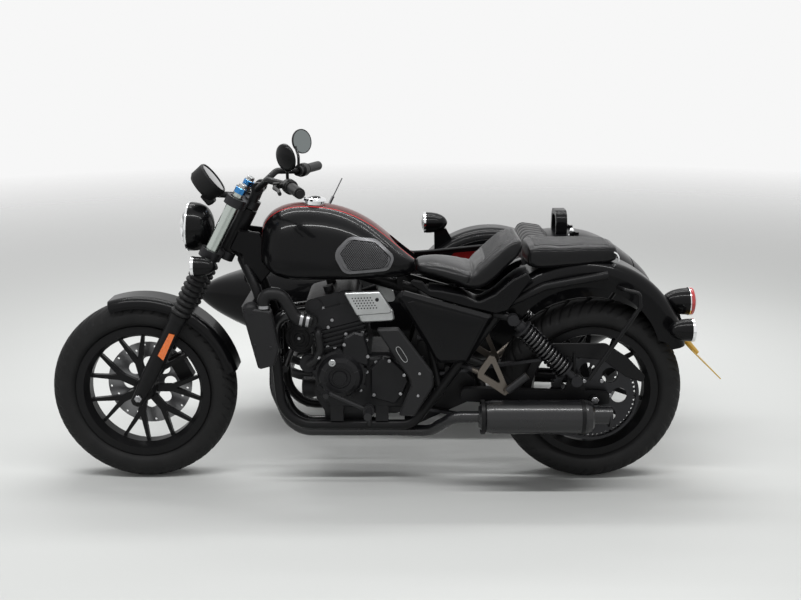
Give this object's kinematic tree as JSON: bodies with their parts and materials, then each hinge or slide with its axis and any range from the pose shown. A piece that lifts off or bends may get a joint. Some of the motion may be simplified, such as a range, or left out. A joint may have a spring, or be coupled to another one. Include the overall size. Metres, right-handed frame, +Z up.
{
  "type": "sidecar motorcycle",
  "caption": "Cruiser motorcycle with a boat-shaped sidecar on its right, deep fenders, solo saddle, pillion pad, low muffler and a steered fork.",
  "frame": {"origin": "on the ground under the rear axle, in the motorcycle's own centre plane", "axes": "+X to the rear, +Y to the rider's right where the sidecar is, +Z up"},
  "size_m": [2.3157, 1.6303, 1.2024],
  "materials": {
    "alloy": "brushed light alloy",
    "chrome": "polished chrome",
    "dark_alloy": "dark cast alloy",
    "gloss_black": "gloss black paint",
    "grille": "grey mesh badge",
    "lamp": "black lamp housings with red and amber lenses",
    "lens": "clear lens",
    "mirror": "mirror glass in a black shell",
    "plate": "blank yellow plate",
    "rubber": "black rubber",
    "satin_black": "satin black powder coat",
    "seat_cover": "black imitation leather",
    "steel": "bare steel",
    "tank_paint": "gloss black paint with a dark red middle band",
    "tyre": "black tyre rubber"
  },
  "bodies": {
    "machine": {"chain_guard": "satin_black", "drive_chain": "steel", "engine_case": "dark_alloy", "engine_covers": "alloy", "engine_top": "dark_alloy", "exhaust_pipes": "satin_black", "fender_stays": "satin_black", "foot_pegs": "rubber", "frame": "satin_black", "fuel_cap": "chrome", "fuel_tank": "tank_paint", "grab_hoop": "seat_cover", "intake_covers": "alloy", "marker_rod": "steel", "muffler": "satin_black", "neck_covers": "gloss_black", "pillion_seat": "seat_cover", "plate_holder": "plate", "radiator": "satin_black", "radiator_hose": "rubber", "rear_fender": "gloss_black", "rear_lamps": "lamp", "rear_shocks": "dark_alloy", "seat_rails": "satin_black", "shock_springs": "satin_black", "side_panels": "gloss_black", "sidecar_chassis": "satin_black", "sidecar_fender": "gloss_black", "sidecar_lamps": "lamp", "sidecar_nose": "gloss_black", "sidecar_seat": "seat_cover", "sidecar_tail": "gloss_black", "sidecar_tub": "gloss_black", "solo_seat": "seat_cover", "sprocket_trim": "dark_alloy", "swingarm": "satin_black", "tank_badges": "grille"},
    "steering": {"yokes": "dark_alloy", "fork_tubes": "alloy", "fork_gaiters": "rubber", "fork_sliders": "satin_black", "handlebar": "satin_black", "grips": "rubber", "hand_controls": "satin_black", "mirrors": "mirror", "headlamp_shell": "gloss_black", "headlamp_lens": "lens", "dash_pod": "satin_black", "front_fender": "gloss_black", "front_signals": "lamp"},
    "front_wheel_set": {"front_tyre": "tyre", "front_wheel": "satin_black", "front_disc": "steel"},
    "rear_wheel_set": {"rear_tyre": "tyre", "rear_wheel": "satin_black", "rear_sprocket": "steel", "rear_disc": "steel"},
    "side_wheel_set": {"side_tyre": "tyre", "side_wheel": "satin_black"},
    "boot": {"boot_lid": "gloss_black"}
  },
  "joints": [
    {"name": "steering_turn", "type": "hinge", "parent": "machine", "child": "steering", "pos_m": [-1.20734, 0, 0.9], "axis": [0.4617, 0, 0.887], "range_deg": [-35, 35]},
    {"name": "front_wheel_turn", "type": "hinge", "parent": "steering", "child": "front_wheel_set", "pos_m": [-1.56, 0, 0.32], "axis": [0, 1, 0], "continuous": true},
    {"name": "rear_wheel_turn", "type": "hinge", "parent": "machine", "child": "rear_wheel_set", "pos_m": [0, 0, 0.322], "axis": [0, 1, 0], "continuous": true},
    {"name": "side_wheel_turn", "type": "hinge", "parent": "machine", "child": "side_wheel_set", "pos_m": [-0.26, 1.15, 0.32], "axis": [0, 1, 0], "continuous": true},
    {"name": "boot_lid_hinge", "type": "hinge", "parent": "machine", "child": "boot", "pos_m": [0.02774, 0.682, 0.76955], "axis": [0, -1, 0], "range_deg": [0, 70]}
  ]
}
